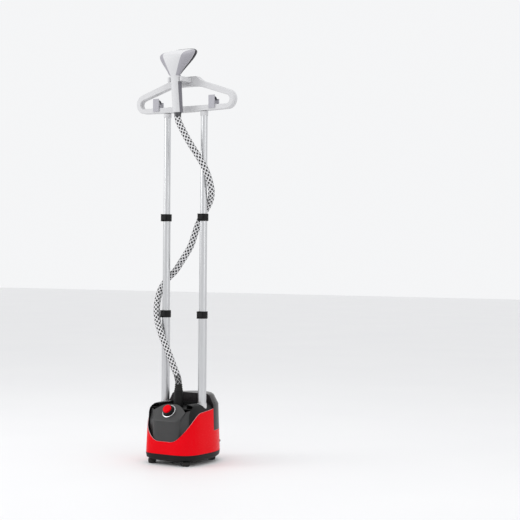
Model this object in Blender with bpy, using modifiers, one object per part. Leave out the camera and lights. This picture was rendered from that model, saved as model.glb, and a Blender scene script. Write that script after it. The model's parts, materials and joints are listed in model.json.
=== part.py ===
"""Upright garment steamer on two telescopic poles: base with boiler and water tank, poles with clamps,
hanger frame with trouser clips, handset and steam hose. Metres, +Z up, the feet stand on Z = 0.
Every object hangs under one empty on the line of the poles, so Y below is measured from that line."""

import math

import bmesh
import bpy
from mathutils import Matrix, Vector

# ---- Driving dimensions -------------------------------------------------------------------------
GAP = 0.0003                    # between pieces that touch
SLIDE_GAP = 0.0003              # between one pole and the next
POLE_LINE_Y = -0.022            # the poles stand this far in front of the middle of the base

BASE_HALF_WIDTH = 0.114
BASE_FRONT = 0.122              # from the pole line forward
BASE_REAR = 0.166               # from the pole line back
BASE_TAPER = 0.037              # the walls lean in by this share of their height
FRONT_ROUNDNESS = 4.0           # exponents of the two rounded halves of the outline
REAR_ROUNDNESS = 2.2
OUTLINE_POINTS = 88
WALL = 0.0025

FOOT_HEIGHT = 0.0165
FOOT_RADIUS = 0.0155
FRONT_FOOT = (0.077, -0.089)
REAR_FOOT = (0.056, 0.105)
PAN_TOP = 0.041
PAN_FLOOR = 0.003
COVER_DIP = 0.088               # height of the coloured cover at the middle of the front
COVER_RISE = 0.105              # rise of its S-shaped edge
COVER_SWEEP = (0.030, 0.170)    # distances round the outline where the S starts and ends
COVER_END_SLOPE = 0.10
BAY_Y = 0.045                   # front of the tank bay
BAY_Z = 0.120
SHOULDER_Z = 0.190
HOUSING_TOP = 0.2225
DECK_TOP = 0.207
RECESS_HALF_WIDTH = 0.0635
TANK_SHOULDER_Z = 0.214
TANK_TOP = 0.255

FACET_LOW = (-0.1175, 0.164)    # lower edge of the sloping control panel, (Y, Z)
FACET_ANGLE = math.radians(50)
KNOB_Y = -0.0905
DIAL_RADIUS = 0.0215
CAP_RADIUS = 0.0165
BEZEL_RADIUS = 0.027

POLE_SPACING = 0.169
POLE_WALL = 0.0012
LOWER_RADIUS = 0.0155
LOWER_BOTTOM = 0.120
LOWER_TOP = 0.551
MIDDLE_LENGTH = 0.4255
MIDDLE_TOP = 0.913
UPPER_OVERLAP = 0.063
SOCKET_TOP = 0.2235
SOCKET_WALL = 0.0016
CLAMP_HEIGHT = 0.027
CLAMP_WALL = 0.003
EAR_ROOT = 0.002                # how far an ear reaches into its collar
LEVER_THICKNESS = 0.0058
LEVER_HALF_LENGTH = 0.0105
LEVER_HEIGHT = 0.017
PIN_RADIUS = 0.0012

HANGER_DEPTH = 0.027
HANGER_BOTTOM = 1.306
CREST_TOP = 1.438
HANGER_SOCKET_HEIGHT = 0.0155
CLIP_X = 0.128
CLIP_WIDTH = 0.027
CLIP_BOTTOM = 1.3155
CLIP_TOP = 1.3635

HANDSET_Y = -0.051              # centre of the handle at its foot, from the pole line
HANDLE_BOTTOM = 1.301
HANDLE_HALF_WIDTH = 0.0155
FERRULE_BOTTOM = 1.286
FERRULE_RADIUS = 0.0135
PLATE_LOW = (-0.0460, 1.4470)
PLATE_HIGH = (-0.0085, 1.5410)
FORK_Z = (1.4150, 1.4320)

HOSE_RADIUS = 0.01225
HOSE_X = -0.003                 # where the hose outlet stands on the deck
HOSE_Y = -0.028
OUTLET_RADIUS = 0.0185
OUTLET_TOP = 0.270
LENS_X = -0.001                 # the pilot lens stands just in front of the outlet
LENS_RADIUS = 0.0068
LENS_CLEARANCE = 0.0012
RELIEF_TOP = 0.292
HOSE_BORE = 0.0085
HOSE_POINT_SPACING = 0.028
HOSE_CUTS = (0.745, 1.155)      # heights where one stretch of hose follows the next
# Route of the hose, chosen by hand: past the right pole, behind both poles, round the left pole.
HOSE_ROUTE = [
    (-0.003, -0.028, 0.2923), (-0.0055, -0.0282, 0.309), (-0.0115, -0.0295, 0.328), (-0.0225, -0.031, 0.352),
    (-0.036, -0.032, 0.382), (-0.062, -0.034, 0.437),
    (-0.084, -0.0315, 0.478), (-0.107, -0.022, 0.520), (-0.1225, -0.009, 0.560), (-0.1275, 0.004, 0.604),
    (-0.1215, 0.017, 0.645), (-0.100, 0.028, 0.682), (-0.067, 0.0325, 0.713), (-0.041, 0.034, 0.747),
    (-0.015, 0.034, 0.781), (0.006, 0.0345, 0.815), (0.034, 0.036, 0.887), (0.063, 0.0365, 0.934),
    (0.094, 0.0275, 0.974), (0.1125, 0.010, 1.008), (0.1175, -0.010, 1.046), (0.111, -0.0235, 1.084),
    (0.094, -0.033, 1.122), (0.069, -0.040, 1.160), (0.043, -0.0445, 1.199), (0.019, -0.0485, 1.240),
    (0.004, -0.0505, 1.268), (0.0, -0.051, 1.2857),
]

TANK_CAP_Y = 0.105              # the cap, with its valve, under the tank
BOILER_Y = -0.035
BOILER_RADIUS = 0.050
DRAIN_X = 0.030
INLET_X = 0.055                 # where the mains lead leaves the rear wall
INLET_DEPTH = 0.02274            # from the rear wall in to the end of the inlet
INLET_Z = 0.066
RIM_THICKNESS = 0.005
RIM_WIDTH = 0.004
FORK_HALF_GAP = 0.0215          # between the fork and the middle of the handset
HANDLE_LEAN = 0.0140            # how far forward the handle leans from foot to head
HANGER_END = (0.187, 1.3465)    # centre of the round end of the hanger loop, (X, Z)
HANGER_END_RADIUS = 0.0365
HANGER_HOLE_END = (0.1885, 1.3450)
HANGER_HOLE_RADIUS = 0.0165

# ---- Derived dimensions -------------------------------------------------------------------------
POLE_X = POLE_SPACING / 2
LENS_Y = HOSE_Y - OUTLET_RADIUS - LENS_CLEARANCE - LENS_RADIUS
INLET_INSET = BASE_TAPER * (INLET_Z - PAN_TOP)
INLET_SHARE = INLET_X / (BASE_HALF_WIDTH - INLET_INSET)
REAR_WALL_Y = (BASE_REAR - INLET_INSET) * (1.0 - INLET_SHARE ** REAR_ROUNDNESS) ** (1.0 / REAR_ROUNDNESS)
INLET_START_Y = REAR_WALL_Y - INLET_DEPTH
MIDDLE_RADIUS = LOWER_RADIUS - POLE_WALL - SLIDE_GAP
UPPER_RADIUS = MIDDLE_RADIUS - POLE_WALL - SLIDE_GAP
CLAMP_RADIUS = LOWER_RADIUS + CLAMP_WALL
FACET_NORMAL = Vector((0.0, -math.sin(FACET_ANGLE), math.cos(FACET_ANGLE)))
KNOB_AT = Vector((0.0, KNOB_Y, FACET_LOW[1] + (KNOB_Y - FACET_LOW[0]) * math.tan(FACET_ANGLE)))
HOUSING_INSET = WALL + GAP
PIN_X = 0.003 - LEVER_HALF_LENGTH
PIN_REACH = CLAMP_RADIUS + GAP + LEVER_THICKNESS / 2 + 0.0001
EAR_REACH = PIN_REACH + LEVER_THICKNESS / 2
POLE_END = HANGER_BOTTOM - 0.004
COVER_BOTTOM = PAN_TOP + GAP

for leftover in list(bpy.data.objects):
    bpy.data.objects.remove(leftover)


def collection(name):
    made = bpy.data.collections.new(name)
    bpy.context.scene.collection.children.link(made)
    return made


PARTS = collection("garment_steamer")
CUTTERS = collection("cutters")
CUTTERS.hide_render = True
STAND = bpy.data.objects.new("stand", None)
STAND.location = (0.0, POLE_LINE_Y, 0.0)
PARTS.objects.link(STAND)


# ---- Materials ----------------------------------------------------------------------------------
def finish(name, colour, roughness, metallic=0.0):
    made = bpy.data.materials.new(name)
    made.use_nodes = True
    shader = made.node_tree.nodes["Principled BSDF"]
    shader.inputs["Base Color"].default_value = (*colour, 1.0)
    shader.inputs["Roughness"].default_value = roughness
    shader.inputs["Metallic"].default_value = metallic
    made.diffuse_color = (*colour, 1.0)
    return made


RED = finish("red_plastic", (0.80, 0.006, 0.015), 0.30)
BLACK = finish("black_plastic", (0.035, 0.035, 0.036), 0.45)
SMOKE = finish("smoke_tank_plastic", (0.055, 0.048, 0.052), 0.30)
RUBBER = finish("black_rubber", (0.012, 0.012, 0.012), 0.80)
ALUMINIUM = finish("pole_aluminium", (0.78, 0.79, 0.80), 0.30, 1.0)
STEEL = finish("steel", (0.55, 0.55, 0.56), 0.30, 1.0)
CAST = finish("cast_aluminium", (0.50, 0.50, 0.51), 0.55, 1.0)
LIGHT_GREY = finish("light_grey_plastic", (0.62, 0.62, 0.64), 0.40)
MID_GREY = finish("mid_grey_plastic", (0.30, 0.29, 0.32), 0.40)
LILAC = finish("lilac_grey_plastic", (0.50, 0.48, 0.55), 0.40)
PLATE_GREY = finish("plate_coating", (0.06, 0.06, 0.065), 0.35)
BRAID = finish("braided_sleeve", (0.45, 0.45, 0.45), 0.80)
LENS_RED = finish("red_lens", (0.60, 0.01, 0.01), 0.15)


# ---- Modelling tools ----------------------------------------------------------------------------
def place(obj, material, location=(0, 0, 0), rotation=(0, 0, 0), cutter=False):
    """Puts an object under the stand, in the parts or among the cutters."""
    obj.parent = STAND
    obj.location = location
    obj.rotation_euler = rotation
    if material:
        obj.data.materials.append(material)
    for home in list(obj.users_collection):
        home.objects.unlink(obj)
    (CUTTERS if cutter else PARTS).objects.link(obj)
    if cutter:
        obj.hide_render = True
        obj.display_type = "WIRE"
    return obj


def smooth(obj):
    obj.data.shade_smooth()
    obj.data.set_sharp_from_angle(angle=math.radians(35))
    return obj


def from_bmesh(name, bm, material, cutter=False, **where):
    bmesh.ops.recalc_face_normals(bm, faces=bm.faces)
    mesh = bpy.data.meshes.new(name)
    bm.to_mesh(mesh)
    bm.free()
    return smooth(place(bpy.data.objects.new(name, mesh), material, cutter=cutter, **where))


def block(name, low, high, material, bevel=0.0, segments=2, cutter=False):
    """A box between two corners, with rounded edges where bevel is given."""
    bpy.ops.mesh.primitive_cube_add(size=1.0)
    obj = bpy.context.object
    obj.name = name
    size = Vector(high) - Vector(low)
    obj.data.transform(Matrix.Diagonal((*size, 1.0)))
    place(obj, material, (Vector(low) + Vector(high)) / 2, cutter=cutter)
    if bevel:
        rounding = obj.modifiers.new("rounding", "BEVEL")
        rounding.width = bevel
        rounding.segments = segments
    return obj


def cylinder(name, radius, low, high, sides=24, material=None, cutter=False):
    """A cylinder between two points."""
    low, high = Vector(low), Vector(high)
    bm = bmesh.new()
    bmesh.ops.create_cone(
        bm, cap_ends=True, segments=sides, radius1=radius, radius2=radius, depth=(high - low).length
    )
    turn = (high - low).to_track_quat("Z", "Y").to_euler()
    return from_bmesh(name, bm, material, cutter, location=(low + high) / 2, rotation=turn)


def turned(name, profile, material, location=(0, 0, 0), rotation=(0, 0, 0), steps=24):
    """A turned piece: the profile is (radius, height) points, down the outer side."""
    mesh = bpy.data.meshes.new(name)
    count = len(profile)
    closed = profile[0][0] > 0.0
    edges = [(i, (i + 1) % count) for i in range(count if closed else count - 1)]
    mesh.from_pydata([(radius, 0.0, height) for radius, height in profile], edges, [])
    obj = place(bpy.data.objects.new(name, mesh), material, location, rotation)
    screw = obj.modifiers.new("turn", "SCREW")
    screw.axis = "Z"
    screw.angle = 2 * math.pi
    screw.steps = steps
    screw.render_steps = steps
    screw.use_merge_vertices = True
    screw.merge_threshold = 0.00005
    screw.use_smooth_shade = True
    return obj


def tube(name, x, y, low, high, radius, wall, material, steps=24):
    inner = radius - wall
    profile = [(radius, high), (radius, low), (inner, low), (inner, high)]
    return turned(name, profile, material, location=(x, y, 0.0), steps=steps)


def plate(name, outlines, thickness, material, location=(0, 0, 0), rotation=(0, 0, 0), cutter=False):
    """A flat piece from outlines in its own XY plane, holes among them, made a welded mesh."""
    curve = bpy.data.curves.new(name, "CURVE")
    curve.dimensions = "2D"
    curve.fill_mode = "BOTH"
    curve.extrude = thickness / 2
    for outline in outlines:
        spline = curve.splines.new("POLY")
        spline.points.add(len(outline) - 1)
        for point, (x, y) in zip(spline.points, outline):
            point.co = (x, y, 0.0, 1.0)
        spline.use_cyclic_u = True
    flat = bpy.data.objects.new(name + "_curve", curve)
    CUTTERS.objects.link(flat)
    bpy.context.view_layer.update()
    graph = bpy.context.evaluated_depsgraph_get()
    mesh = bpy.data.meshes.new_from_object(flat.evaluated_get(graph))
    bpy.data.objects.remove(flat)
    bm = bmesh.new()
    bm.from_mesh(mesh)
    bmesh.ops.remove_doubles(bm, verts=bm.verts, dist=0.00001)
    return from_bmesh(name, bm, material, cutter, location=location, rotation=rotation)


def loft(name, rings, material, cutter=False):
    """A closed body through rings of equal count, with both ends capped."""
    bm = bmesh.new()
    loops = [[bm.verts.new(point) for point in ring] for ring in rings]
    count = len(loops[0])
    for lower, upper in zip(loops, loops[1:]):
        for i in range(count):
            j = (i + 1) % count
            bm.faces.new((lower[i], lower[j], upper[j], upper[i]))
    bm.faces.new(loops[0])
    bm.faces.new(loops[-1])
    return from_bmesh(name, bm, material, cutter)


def sheet(name, rows, material, thickness, closed=False):
    """An open surface through rows of points, thickened inwards. The rows run bottom to top."""
    bm = bmesh.new()
    grid = [[bm.verts.new(point) for point in row] for row in rows]
    count = len(grid[0])
    for lower, upper in zip(grid, grid[1:]):
        for i in range(count if closed else count - 1):
            j = (i + 1) % count
            bm.faces.new((lower[i], lower[j], upper[j], upper[i]))
    mesh = bpy.data.meshes.new(name)
    bm.to_mesh(mesh)
    bm.free()
    obj = smooth(place(bpy.data.objects.new(name, mesh), material))
    skin = obj.modifiers.new("skin", "SOLIDIFY")
    skin.thickness = thickness
    skin.offset = -1.0
    skin.use_even_offset = True
    return obj


def pipe(name, points, radius, material, resolution=2):
    curve = bpy.data.curves.new(name, "CURVE")
    curve.dimensions = "3D"
    curve.bevel_depth = radius
    curve.bevel_resolution = resolution
    curve.use_fill_caps = True
    spline = curve.splines.new("POLY")
    spline.points.add(len(points) - 1)
    for point, place_at in zip(spline.points, points):
        point.co = (*place_at, 1.0)
    return place(bpy.data.objects.new(name, curve), material)


def boolean(obj, other, operation="DIFFERENCE"):
    modifier = obj.modifiers.new(operation.lower(), "BOOLEAN")
    modifier.object = other
    modifier.operation = operation
    return obj


def drill(obj, radius, low, high, sides=24):
    return boolean(obj, cylinder(obj.name + "_bore", radius, low, high, sides, cutter=True))


def twin(source, name, offset):
    """A copy of a finished piece, as its own object, moved by offset."""
    bpy.context.view_layer.update()
    graph = bpy.context.evaluated_depsgraph_get()
    mesh = bpy.data.meshes.new_from_object(source.evaluated_get(graph))
    copy = bpy.data.objects.new(name, mesh)
    return place(copy, None, source.location + Vector(offset), source.rotation_euler)


def smoothstep(value):
    value = min(max(value, 0.0), 1.0)
    return value * value * (3.0 - 2.0 * value)


# ---- Base: outline ------------------------------------------------------------------------------
def base_ring(inset, z, count=OUTLINE_POINTS):
    """One level of the base outline, anticlockwise from +X, shrunk by inset and by the taper."""
    inset = inset + BASE_TAPER * max(z - PAN_TOP, 0.0)

    def at(angle):
        c, s = math.cos(angle), math.sin(angle)
        power = 2.0 / (REAR_ROUNDNESS if s > 0 else FRONT_ROUNDNESS)
        depth = (BASE_REAR if s > 0 else BASE_FRONT) - inset
        x = math.copysign(abs(c) ** power, c) * (BASE_HALF_WIDTH - inset) if abs(c) > 1e-9 else 0.0
        y = math.copysign(abs(s) ** power, s) * depth if abs(s) > 1e-9 else 0.0
        return Vector((x, y, z))

    ring, each = [], count // 4
    for quarter in range(4):
        fine = [at(math.pi / 2 * (quarter + i / 160)) for i in range(161)]
        run = [0.0]
        for a, b in zip(fine, fine[1:]):
            run.append(run[-1] + (b - a).length)
        spot = 0
        for i in range(each):
            while run[spot + 1] < run[-1] * i / each:
                spot += 1
            share = (run[-1] * i / each - run[spot]) / (run[spot + 1] - run[spot])
            ring.append(fine[spot].lerp(fine[spot + 1], share))
    return ring


def cover_edge():
    """Height of the coloured cover's top edge at each point of the outline."""
    ring = base_ring(0.0, PAN_TOP)
    count = len(ring)
    front = 3 * count // 4
    heights = [0.0] * count
    for way in (1, -1):
        run, previous = 0.0, ring[front]
        for step in range(count // 2 + 1):
            index = (front + way * step) % count
            run += (ring[index] - previous).length
            previous = ring[index]
            rise = smoothstep((run - COVER_SWEEP[0]) / (COVER_SWEEP[1] - COVER_SWEEP[0]))
            heights[index] = COVER_DIP + COVER_RISE * rise + COVER_END_SLOPE * max(run - COVER_SWEEP[1], 0.0)
            heights[index] = min(heights[index], SHOULDER_Z + 0.012)
    return heights


# ---- Base: pan, feet and covers -----------------------------------------------------------------
def build_pan():
    rings = [
        base_ring(0.011, FOOT_HEIGHT + GAP),
        base_ring(0.002, FOOT_HEIGHT + 0.008),
        base_ring(0.0, PAN_TOP - 0.003),
        base_ring(0.0, PAN_TOP),
        base_ring(WALL, PAN_TOP),
        base_ring(WALL, FOOT_HEIGHT + 0.010),
        base_ring(0.011, FOOT_HEIGHT + GAP + PAN_FLOOR),
    ]
    loft("bottom_pan", rings, BLACK)
    profile = [
        (0.0, FOOT_HEIGHT), (FOOT_RADIUS - 0.001, FOOT_HEIGHT), (FOOT_RADIUS, FOOT_HEIGHT - 0.001),
        (FOOT_RADIUS - 0.0008, 0.003), (FOOT_RADIUS - 0.0035, 0.0), (0.0, 0.0),
    ]
    places = {
        "front_left_foot": (-FRONT_FOOT[0], FRONT_FOOT[1]), "front_right_foot": FRONT_FOOT,
        "rear_left_foot": (-REAR_FOOT[0], REAR_FOOT[1]), "rear_right_foot": REAR_FOOT,
    }
    for name, (x, y) in places.items():
        turned(name, profile, RUBBER, location=(x, y, 0.0))


def build_side_cover():
    edge = cover_edge()
    levels = (0.0, 0.5, 1.0)
    rows = []
    for level in levels:
        row = []
        for i, top in enumerate(edge):
            z = COVER_BOTTOM + (top - COVER_BOTTOM) * level
            row.append(base_ring(0.0, z)[i])
        rows.append(row)
    cover = sheet("side_cover", rows, RED, WALL, closed=True)
    notch = block("bay_notch", (-0.2, BAY_Y, BAY_Z), (0.2, 0.3, 0.3), None, cutter=True)
    boolean(cover, notch)


def build_housing():
    inset = HOUSING_INSET
    outer = [
        base_ring(inset, COVER_BOTTOM), base_ring(inset, SHOULDER_Z), base_ring(inset + 0.002, 0.203),
        base_ring(inset + 0.007, 0.2135), base_ring(inset + 0.014, 0.2195),
        base_ring(inset + 0.024, HOUSING_TOP),
    ]
    inner = [
        base_ring(inset + 0.025, HOUSING_TOP - WALL), base_ring(inset + 0.0155, 0.2172),
        base_ring(inset + 0.0092, 0.2118), base_ring(inset + 0.0045, 0.2022),
        base_ring(inset + WALL, SHOULDER_Z), base_ring(inset + WALL, COVER_BOTTOM),
    ]
    housing = loft("main_housing", inner + outer, BLACK)
    far = 0.3
    window = block("front_window", (-0.0925, -far, 0.076), (0.0925, -0.066, far), None, cutter=True)
    recess = block(
        "deck_recess", (-RECESS_HALF_WIDTH, -0.07, 0.2035), (RECESS_HALF_WIDTH, far, far), None, cutter=True
    )
    bay = block("bay_opening", (-far, BAY_Y - GAP, BAY_Z - 0.0085), (far, far, far), None, cutter=True)
    for cutter in (window, recess, bay):
        boolean(housing, cutter)
    for side in (-1, 1):
        x = side * POLE_X
        drill(housing, LOWER_RADIUS + SOCKET_WALL + 2 * GAP, (x, 0, 0.15), (x, 0, 0.26), 32)


def facet_point(x, z):
    """A point of the sloping control panel at height z."""
    return (x, FACET_LOW[0] + (z - FACET_LOW[1]) / math.tan(FACET_ANGLE), z)


def build_fascia():
    """Front panel: a boss that rises to the sloping control panel, between two set-back flanks."""
    foot = [(0.0, -0.1160), (0.018, -0.1160), (0.034, -0.1158), (0.046, -0.1148), (0.055, -0.1125),
            (0.0605, -0.1080), (0.062, -0.1035), (0.076, -0.0965), (0.0895, -0.0900)]
    brow = [(0.0, -0.1175), (0.018, -0.1175), (0.034, -0.1173), (0.046, -0.1165), (0.055, -0.1140),
            (0.0605, -0.1095), (0.062, -0.1045), (0.076, -0.0965), (0.0895, -0.0895)]
    crown = [(0.0, 0.2215), (0.022, 0.2208), (0.038, 0.2165), (0.052, 0.2095), (0.064, 0.2025), (0.074, 0.196)]
    top = [facet_point(x, z) for x, z in crown]
    top += [(0.0765, -0.0845, 0.1985), (0.083, -0.0805, 0.2015), (0.0885, -0.0785, 0.2025)]
    rows = [
        [(x, y, 0.080) for x, y in foot],
        [(x, y, FACET_LOW[1] - 0.004) for x, y in brow],
        [(x, y + 0.0025, FACET_LOW[1] + 0.0015) for x, y in brow],
        top,
    ]
    whole = [[(-x, y, z) for x, y, z in reversed(row[1:])] + row for row in rows]
    fascia = sheet("control_fascia", whole, BLACK, WALL)
    drill(fascia, 0.0036, KNOB_AT - FACET_NORMAL * 0.02, KNOB_AT + FACET_NORMAL * 0.02, 16)


def build_deck():
    wide, narrow = 0.0885, RECESS_HALF_WIDTH - GAP * 2
    right = [(wide, -0.0755), (wide, -0.0665), (narrow, -0.0655), (narrow, 0.0405)]
    outline = right + [(-x, y) for x, y in reversed(right)]
    deck = plate("top_deck", [outline], 0.0025, BLACK, location=(0, 0, DECK_TOP - 0.00125))
    for side in (-1, 1):
        low, high = sorted((side * narrow, side * (narrow - 0.002)))
        rail = block(
            "deck_rail", (low, -0.0655, DECK_TOP - 0.001), (high, 0.0405, HOUSING_TOP - 0.001), None, cutter=True
        )
        boolean(deck, rail, "UNION")
    drill(deck, 0.0152, (HOSE_X, HOSE_Y, 0.19), (HOSE_X, HOSE_Y, 0.23))
    drill(deck, 0.0042, (LENS_X, LENS_Y, 0.19), (LENS_X, LENS_Y, 0.23), 16)
    turned(
        "pilot_lens",
        [(0.0, 0.0115), (0.0040, 0.0105), (0.0062, 0.0080), (LENS_RADIUS, 0.0050), (LENS_RADIUS, GAP),
         (0.0038, GAP),
         (0.0038, -0.006), (0.0, -0.006)],
        LENS_RED, location=(LENS_X, LENS_Y, DECK_TOP), steps=20,
    )


def build_knob():
    turn = (FACET_ANGLE, 0.0, 0.0)
    turned(
        "knob_bezel",
        [(BEZEL_RADIUS, 0.0012), (BEZEL_RADIUS, GAP), (BEZEL_RADIUS - 0.0035, GAP),
         (BEZEL_RADIUS - 0.0030, 0.0018)],
        STEEL, KNOB_AT, turn, 32,
    )
    bore = 0.0030
    turned(
        "knob_dial",
        [(bore, 0.0135), (DIAL_RADIUS - 0.004, 0.0135), (DIAL_RADIUS - 0.0015, 0.0115), (DIAL_RADIUS, 0.002),
         (DIAL_RADIUS - 0.003, 0.0015), (bore, 0.0015)],
        BLACK, KNOB_AT, turn, 32,
    )
    turned(
        "knob_cap",
        [(0.0, 0.0215), (CAP_RADIUS - 0.003, 0.0212), (CAP_RADIUS - 0.0006, 0.0195), (CAP_RADIUS, 0.0170),
         (CAP_RADIUS, 0.0138), (0.0, 0.0138)],
        RED, KNOB_AT, turn, 32,
    )
    turned(
        "knob_shaft", [(0.0, 0.0132), (bore - GAP, 0.0132), (bore - GAP, -0.008), (0.0, -0.008)],
        STEEL, KNOB_AT, turn, 12,
    )
    turned(
        "heat_switch",
        [(0.0, -0.0085), (0.0034, -0.0085), (0.0034, -0.0045), (0.011, -0.0045), (0.011, -0.020), (0.0, -0.020)],
        MID_GREY, KNOB_AT, turn, 16,
    )


# ---- Base: hose outlet, tank and inside ---------------------------------------------------------
def build_outlet():
    flange, neck = 0.019, 0.0152 - GAP
    deck_low = DECK_TOP - 0.0025 - GAP
    turned(
        "hose_outlet",
        [(OUTLET_RADIUS - 0.003, OUTLET_TOP), (OUTLET_RADIUS - 0.0018, OUTLET_TOP - 0.002),
         (OUTLET_RADIUS, DECK_TOP + 0.010), (OUTLET_RADIUS, DECK_TOP + GAP), (neck, DECK_TOP + GAP),
         (neck, deck_low), (flange, deck_low), (flange, deck_low - 0.005), (HOSE_BORE, deck_low - 0.005),
         (HOSE_BORE, OUTLET_TOP)],
        BLACK, (HOSE_X, HOSE_Y, 0.0),
    )
    rib, low = 0.0045, OUTLET_TOP + GAP
    profile = [(HOSE_BORE, low), (HOSE_BORE, RELIEF_TOP)]
    for step in range(3):
        top = RELIEF_TOP - step * (rib + 0.0025)
        outer = 0.0138 + 0.0006 * step
        waist = outer - 0.0015
        profile += [(outer, top), (outer, top - rib), (waist, top - rib), (waist, top - rib - 0.0025)]
    profile = profile[:-2] + [(profile[-3][0], low)]
    turned("hose_strain_relief", profile, RUBBER, (HOSE_X, HOSE_Y, 0.0))


def build_tank():
    inset = GAP
    low = BAY_Z + GAP
    outer = [
        base_ring(inset, low), base_ring(inset, TANK_SHOULDER_Z), base_ring(inset + 0.008, TANK_SHOULDER_Z + 0.016),
        base_ring(inset + 0.016, TANK_TOP - 0.008), base_ring(inset + 0.024, TANK_TOP - 0.002),
        base_ring(inset + 0.036, TANK_TOP),
    ]
    inner = [
        base_ring(inset + WALL, low + WALL), base_ring(inset + WALL, TANK_SHOULDER_Z),
        base_ring(inset + WALL + 0.008, TANK_SHOULDER_Z + 0.015),
        base_ring(inset + WALL + 0.016, TANK_TOP - 0.0105), base_ring(inset + WALL + 0.025, TANK_TOP - 0.005),
    ]
    tank = loft("water_tank", outer, SMOKE)
    hollow = loft("tank_hollow", inner, None, cutter=True)
    far = 0.3
    front = block("tank_front", (-far, -far, 0.0), (far, BAY_Y + 2 * GAP, far), None, cutter=True)
    hollow_front = block(
        "tank_hollow_front", (-far, -far, 0.0), (far, BAY_Y + 2 * GAP + WALL, far), None, cutter=True
    )
    boolean(hollow, hollow_front)
    boolean(tank, front)
    boolean(tank, hollow)
    neck, centre = 0.015, (0.0, TANK_CAP_Y)
    drill(tank, neck, (*centre, low - 0.01), (*centre, low + 0.01))
    turned(
        "tank_cap",
        [(0.0, low + 0.007), (neck - GAP, low + 0.007), (neck - GAP, low - GAP), (0.0195, low - GAP),
         (0.0195, low - 0.0065), (0.018, low - 0.0075), (0.005, low - 0.0075), (0.004, low - 0.014),
         (0.0, low - 0.014)],
        MID_GREY, (*centre, 0.0),
    )


def build_bay():
    """Floor under the tank and bulkhead in front of it, one moulding."""
    floor_low = BAY_Z - 0.0085 + GAP
    bay = loft(
        "tank_bay",
        [base_ring(HOUSING_INSET + GAP, floor_low), base_ring(HOUSING_INSET + GAP, floor_low + WALL)],
        BLACK,
    )
    bulkhead = (BAY_Y - 0.004, BAY_Y - 2 * GAP)
    far = 0.3
    boolean(bay, block("bay_trim", (-far, -far, 0.0), (far, bulkhead[0], far), None, cutter=True))
    for side in (-1, 1):
        low, high = sorted((side * 0.0985, side * far))
        boolean(bay, block("bay_notch", (low, -far, 0.0), (high, BAY_Y, far), None, cutter=True))
    low = floor_low + 0.0005
    wide = block("bay_wall", (-0.0975, bulkhead[0], low), (0.0975, bulkhead[1], 0.196), None, cutter=True)
    half = RECESS_HALF_WIDTH - 2 * GAP
    tall = block("bay_back", (-half, bulkhead[0], low), (half, bulkhead[1], HOUSING_TOP - 0.001), None, cutter=True)
    boolean(bay, wide, "UNION")
    boolean(bay, tall, "UNION")
    drill(bay, 0.0215, (0.0, TANK_CAP_Y, 0.10), (0.0, TANK_CAP_Y, 0.13))


def build_inside():
    x, y, radius = 0.0, BOILER_Y, BOILER_RADIUS
    inner = radius - 0.004
    turned(
        "boiler_pot",
        [(0.0, 0.056), (inner, 0.056), (inner, 0.095), (radius, 0.095), (radius, 0.053), (radius - 0.003, 0.050),
         (0.0, 0.050)],
        CAST, (x, y, 0.0),
    )
    turned(
        "boiler_cover",
        [(0.0, 0.1060), (0.030, 0.1055), (radius - 0.002, 0.1000), (radius, 0.0953), (0.0, 0.0953)],
        CAST, (x, y, 0.0),
    )
    deck_low = DECK_TOP - 0.0025 - GAP
    pipe("steam_pipe", [(HOSE_X, HOSE_Y, 0.1065), (HOSE_X, HOSE_Y, deck_low - 0.006)], 0.006, RUBBER)
    side = y + radius + 0.0005
    route = [
        (0.0, TANK_CAP_Y, BAY_Z - 0.0155), (0.0, TANK_CAP_Y, 0.085), (0.0, TANK_CAP_Y - 0.004, 0.077),
        (0.0, TANK_CAP_Y - 0.012, 0.073), (0.0, TANK_CAP_Y - 0.024, 0.072), (0.0, side, 0.072),
    ]
    pipe("feed_pipe", route, 0.0055, RUBBER)
    floor_low = FOOT_HEIGHT + GAP
    turned(
        "drain_plug",
        [(0.0, 0.040), (0.0085, 0.040), (0.0085, floor_low - GAP), (0.0125, floor_low - GAP), (0.0115, 0.0125),
         (0.0, 0.0125)],
        BLACK, (DRAIN_X, 0.0, 0.0),
    )
    drill(bpy.data.objects["bottom_pan"], 0.0088, (DRAIN_X, 0, 0.0), (DRAIN_X, 0, 0.03))
    inlet = turned(
        "cord_inlet",
        [(0.0055, 0.032), (0.0080, 0.014), (0.0080, 0.0), (0.0035, 0.0), (0.0035, 0.032)],
        RUBBER, (INLET_X, INLET_START_Y, INLET_Z), (math.radians(-90), 0.0, 0.0), 16,
    )
    low, high = inlet.location + Vector((0, -0.01, 0)), inlet.location + Vector((0, 0.05, 0))
    for shell in ("side_cover", "main_housing"):
        drill(bpy.data.objects[shell], 0.0084, low, high, 16)


# ---- Poles and clamps ---------------------------------------------------------------------------
SIDES = (("left", -1), ("right", 1))


def build_poles():
    stages = (
        ("lower", LOWER_BOTTOM, LOWER_TOP, LOWER_RADIUS),
        ("middle", MIDDLE_TOP - MIDDLE_LENGTH, MIDDLE_TOP, MIDDLE_RADIUS),
        ("upper", MIDDLE_TOP - UPPER_OVERLAP, POLE_END, UPPER_RADIUS),
    )
    for side, sign in SIDES:
        for stage, low, high, radius in stages:
            tube(f"{side}_{stage}_pole", sign * POLE_X, 0.0, low, high, radius, POLE_WALL, ALUMINIUM)
        outer = LOWER_RADIUS + GAP + SOCKET_WALL
        turned(
            f"{side}_pole_socket",
            [(outer - 0.0008, SOCKET_TOP), (outer, SOCKET_TOP - 0.0008), (outer, 0.160),
             (LOWER_RADIUS + GAP, 0.160), (LOWER_RADIUS + GAP, SOCKET_TOP)],
            LIGHT_GREY, (sign * POLE_X, 0.0, 0.0),
        )


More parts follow.
